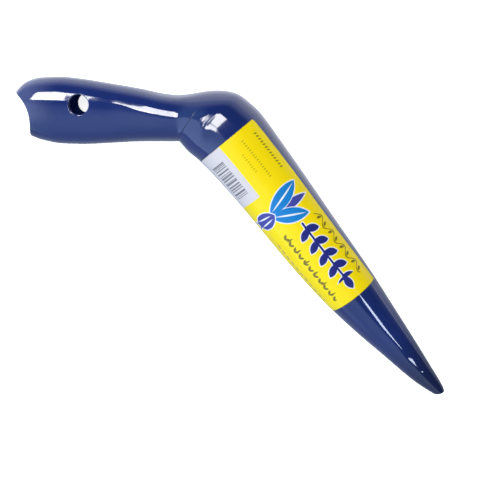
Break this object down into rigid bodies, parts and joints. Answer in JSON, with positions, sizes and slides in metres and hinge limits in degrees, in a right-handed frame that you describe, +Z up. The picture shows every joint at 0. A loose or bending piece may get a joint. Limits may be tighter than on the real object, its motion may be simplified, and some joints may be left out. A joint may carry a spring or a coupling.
{
  "type": "hand dibber",
  "caption": "Bent steel planting dibber: hollow sheet-metal grip with a notched open end and hang hole, elbow, and tapered shank wrapped in a label, ending in a solid point.",
  "frame": {"origin": "on the surface the tool lies on, under the middle of its bounding box", "axes": "+X from the open end of the grip towards the point, +Z up from the surface the tool lies on, +Y from the point's side towards the grip's side"},
  "size_m": [0.2426, 0.1788, 0.0426],
  "materials": {
    "blue_paint": "gloss",
    "label": "satin"
  },
  "bodies": {
    "root": {"grip_tube": "blue_paint", "shank_cone": "blue_paint", "steel_point": "blue_paint", "elbow_weld": "blue_paint", "grip_seam_weld": "blue_paint", "shank_seam_weld": "blue_paint", "point_weld": "blue_paint", "label": "label"}
  },
  "joints": []
}
